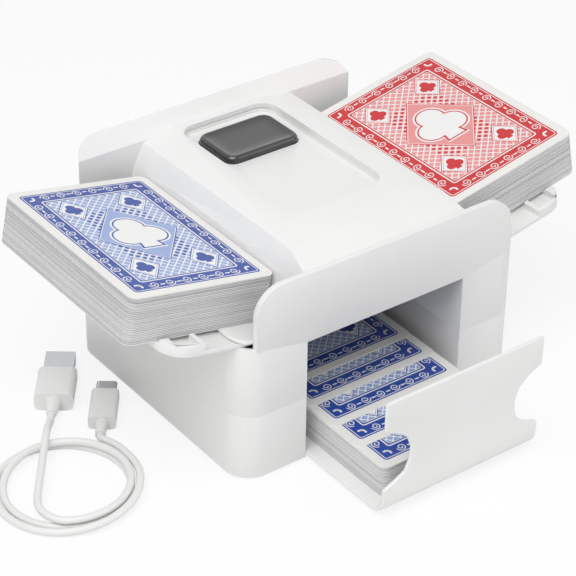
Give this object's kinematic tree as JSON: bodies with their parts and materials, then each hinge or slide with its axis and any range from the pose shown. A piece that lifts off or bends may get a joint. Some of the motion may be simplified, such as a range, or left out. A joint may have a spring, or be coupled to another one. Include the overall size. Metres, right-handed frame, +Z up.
{
  "type": "automatic playing-card shuffler",
  "caption": "Motor-driven card shuffler: sloping card trays feed decks through rollers into a slide-out drawer under a long covered body with one start button.",
  "frame": {"origin": "centre of the housing's footprint, on the surface that the feet stand on", "axes": "+X to the right card tray, -Y the way the drawer pulls out, +Z up"},
  "size_m": [0.2593, 0.1648, 0.096],
  "materials": {
    "white_shell": "satin white ABS moulding",
    "white_inner": "matt white ABS moulding",
    "button_grey": "glossy dark grey ABS",
    "gear_acetal": "natural acetal, semi-matt",
    "rubber_grey": "dark silicone rubber, matt",
    "steel": "bright drawn steel",
    "brass": "turned brass",
    "motor_steel": "zinc-plated sheet steel",
    "board_green": "solder mask over glass-fibre board",
    "cell_wrap": "shrink-wrap film",
    "cards_blue": "coated card, satin",
    "cards_red": "coated card, satin",
    "cards_drawer": "coated card, satin",
    "cable_white": "soft white PVC",
    "plug_metal": "nickel-plated steel"
  },
  "bodies": {
    "housing": {"base_housing": "white_shell", "middle_housing": "white_shell", "top_cover": "white_shell", "housing_screws": "steel", "rubber_feet": "rubber_grey", "shaft_bushes": "brass", "switch_board": "board_green", "start_switch": "button_grey", "board_screws": "steel", "button_pads": "rubber_grey", "battery_cell": "cell_wrap", "main_board": "board_green", "charging_socket": "plug_metal", "right_card_tray": "white_shell", "right_front_frame": "white_inner", "right_rear_frame": "white_inner", "right_motor": "motor_steel", "left_card_tray": "white_shell", "left_front_frame": "white_inner", "left_rear_frame": "white_inner", "left_motor": "motor_steel"},
    "right_feed_roller": {"right_feed_shaft": "steel", "right_feed_tyres": "rubber_grey", "right_feed_gear": "gear_acetal"},
    "right_exit_roller": {"right_exit_shaft": "steel", "right_exit_tyres": "rubber_grey", "right_exit_gear": "gear_acetal"},
    "right_idler": {"right_idler_gear": "gear_acetal"},
    "right_reduction": {"right_reduction_gear": "gear_acetal"},
    "right_motor_drive": {"right_motor_shaft": "steel", "right_motor_pinion": "brass"},
    "right_pinch": {"right_pinch_roller": "gear_acetal"},
    "right_rest": {"right_card_rest": "white_shell"},
    "right_deck": {"right_card_deck": "cards_red"},
    "left_feed_roller": {"left_feed_shaft": "steel", "left_feed_tyres": "rubber_grey", "left_feed_gear": "gear_acetal"},
    "left_exit_roller": {"left_exit_shaft": "steel", "left_exit_tyres": "rubber_grey", "left_exit_gear": "gear_acetal"},
    "left_idler": {"left_idler_gear": "gear_acetal"},
    "left_reduction": {"left_reduction_gear": "gear_acetal"},
    "left_motor_drive": {"left_motor_shaft": "steel", "left_motor_pinion": "brass"},
    "left_pinch": {"left_pinch_roller": "gear_acetal"},
    "left_rest": {"left_card_rest": "white_shell"},
    "left_deck": {"left_card_deck": "cards_blue"},
    "start_button_body": {"start_button": "button_grey"},
    "drawer_body": {"drawer": "white_shell", "drawer_card_stack": "cards_drawer"},
    "fanned_card_1_body": {"fanned_card_1": "cards_drawer"},
    "fanned_card_2_body": {"fanned_card_2": "cards_drawer"},
    "fanned_card_3_body": {"fanned_card_3": "cards_drawer"},
    "fanned_card_4_body": {"fanned_card_4": "cards_drawer"},
    "charging_cable": {"cable_coil": "cable_white", "charging_leads": "cable_white", "usb_a_plug_grip": "cable_white", "usb_a_plug_shell": "plug_metal", "usb_c_plug_grip": "cable_white", "usb_c_plug_shell": "plug_metal"}
  },
  "joints": [
    {"name": "right_feed_spin", "type": "hinge", "parent": "housing", "child": "right_feed_roller", "pos_m": [0.05313, 0, 0.04991], "axis": [0, 1, 0], "continuous": true},
    {"name": "right_exit_spin", "type": "hinge", "parent": "housing", "child": "right_exit_roller", "pos_m": [0.03883, 0, 0.05368], "axis": [0, 1, 0], "continuous": true},
    {"name": "right_idler_spin", "type": "hinge", "parent": "housing", "child": "right_idler", "pos_m": [0.04397, 0, 0.04704], "axis": [0, 1, 0], "continuous": true},
    {"name": "right_reduction_spin", "type": "hinge", "parent": "housing", "child": "right_reduction", "pos_m": [0.05313, 0, 0.04031], "axis": [0, 1, 0], "continuous": true},
    {"name": "right_motor_spin", "type": "hinge", "parent": "housing", "child": "right_motor_drive", "pos_m": [0.05313, 0, 0.02651], "axis": [0, 1, 0], "continuous": true},
    {"name": "right_pinch_spin", "type": "hinge", "parent": "housing", "child": "right_pinch", "pos_m": [0.03727, 0, 0.06133], "axis": [0, 1, 0], "continuous": true},
    {"name": "right_rest_slide", "type": "slide", "parent": "housing", "child": "right_rest", "axis": [-0.9799, 0, -0.1994], "range_m": [0, 0.012]},
    {"name": "right_deck_lift", "type": "slide", "parent": "housing", "child": "right_deck", "axis": [0, 0, 1], "range_m": [0, 0.05]},
    {"name": "left_feed_spin", "type": "hinge", "parent": "housing", "child": "left_feed_roller", "pos_m": [-0.05313, 0, 0.04991], "axis": [0, 1, 0], "continuous": true},
    {"name": "left_exit_spin", "type": "hinge", "parent": "housing", "child": "left_exit_roller", "pos_m": [-0.03883, 0, 0.05368], "axis": [0, 1, 0], "continuous": true},
    {"name": "left_idler_spin", "type": "hinge", "parent": "housing", "child": "left_idler", "pos_m": [-0.04397, 0, 0.04704], "axis": [0, 1, 0], "continuous": true},
    {"name": "left_reduction_spin", "type": "hinge", "parent": "housing", "child": "left_reduction", "pos_m": [-0.05313, 0, 0.04031], "axis": [0, 1, 0], "continuous": true},
    {"name": "left_motor_spin", "type": "hinge", "parent": "housing", "child": "left_motor_drive", "pos_m": [-0.05313, 0, 0.02651], "axis": [0, 1, 0], "continuous": true},
    {"name": "left_pinch_spin", "type": "hinge", "parent": "housing", "child": "left_pinch", "pos_m": [-0.03727, 0, 0.06133], "axis": [0, 1, 0], "continuous": true},
    {"name": "left_rest_slide", "type": "slide", "parent": "housing", "child": "left_rest", "axis": [0.9799, 0, -0.1994], "range_m": [0, 0.012]},
    {"name": "left_deck_lift", "type": "slide", "parent": "housing", "child": "left_deck", "axis": [0, 0, 1], "range_m": [0, 0.05]},
    {"name": "start_button_press", "type": "slide", "parent": "housing", "child": "start_button_body", "axis": [0, 0, -1], "range_m": [0, 0.0015], "stiffness_N_per_m": 400, "deforming": ["button_pads"]},
    {"name": "drawer_slide", "type": "slide", "parent": "housing", "child": "drawer_body", "axis": [0, 1, 0], "range_m": [0, 0.047]},
    {"name": "fanned_card_1_slide", "type": "slide", "parent": "drawer_body", "child": "fanned_card_1_body", "axis": [0, -1, 0], "range_m": [0, 0.01531]},
    {"name": "fanned_card_2_slide", "type": "slide", "parent": "drawer_body", "child": "fanned_card_2_body", "axis": [0, -1, 0], "range_m": [0, 0.03061]},
    {"name": "fanned_card_3_slide", "type": "slide", "parent": "drawer_body", "child": "fanned_card_3_body", "axis": [0, -1, 0], "range_m": [0, 0.04591]},
    {"name": "fanned_card_4_slide", "type": "slide", "parent": "drawer_body", "child": "fanned_card_4_body", "axis": [0, -1, 0], "range_m": [0, 0.06121]},
    {"name": "charging_cable_lift", "type": "slide", "parent": "housing", "child": "charging_cable", "axis": [0, 0, 1], "range_m": [0, 0.05]}
  ],
  "couplings": [
    {"joint": "right_exit_spin", "follows": "right_feed_spin", "ratio": 1.25},
    {"joint": "right_idler_spin", "follows": "right_feed_spin", "ratio": -1.6667},
    {"joint": "right_reduction_spin", "follows": "right_feed_spin", "ratio": -1.6667},
    {"joint": "right_motor_spin", "follows": "right_feed_spin", "ratio": 6},
    {"joint": "left_exit_spin", "follows": "left_feed_spin", "ratio": 1.25},
    {"joint": "left_idler_spin", "follows": "left_feed_spin", "ratio": -1.6667},
    {"joint": "left_reduction_spin", "follows": "left_feed_spin", "ratio": -1.6667},
    {"joint": "left_motor_spin", "follows": "left_feed_spin", "ratio": 6},
    {"joint": "fanned_card_1_slide", "follows": "drawer_slide", "ratio": 0.32553},
    {"joint": "fanned_card_2_slide", "follows": "drawer_slide", "ratio": 0.65106},
    {"joint": "fanned_card_3_slide", "follows": "drawer_slide", "ratio": 0.9766},
    {"joint": "fanned_card_4_slide", "follows": "drawer_slide", "ratio": 1.3021}
  ]
}
